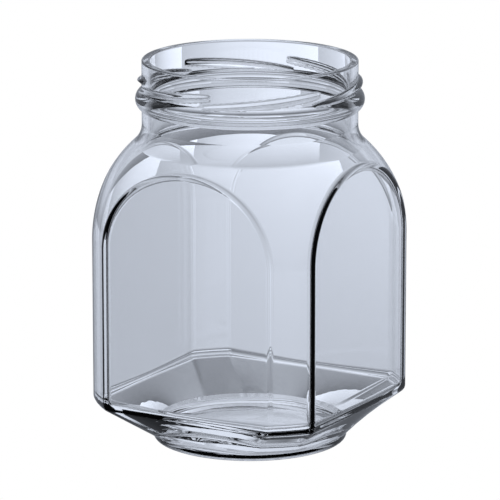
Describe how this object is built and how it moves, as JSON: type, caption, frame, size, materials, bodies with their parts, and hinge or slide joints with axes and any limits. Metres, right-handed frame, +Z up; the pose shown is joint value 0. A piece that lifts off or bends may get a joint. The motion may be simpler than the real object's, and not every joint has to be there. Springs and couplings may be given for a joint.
{
  "type": "glass jar",
  "caption": "Clear square glass jar with arched flat panels, a domed shoulder, a round foot and a round lugged mouth for a twist-off cap.",
  "frame": {"origin": "centre of the round foot, on the surface the jar stands on", "axes": "+Z up along the jar's axis; X and Y square to the four flat panels"},
  "size_m": [0.071, 0.071, 0.1079],
  "materials": {
    "glass": "clear, colourless soda-lime container glass, smooth and glossy"
  },
  "bodies": {
    "root": {"glass_jar": "glass"}
  },
  "joints": []
}
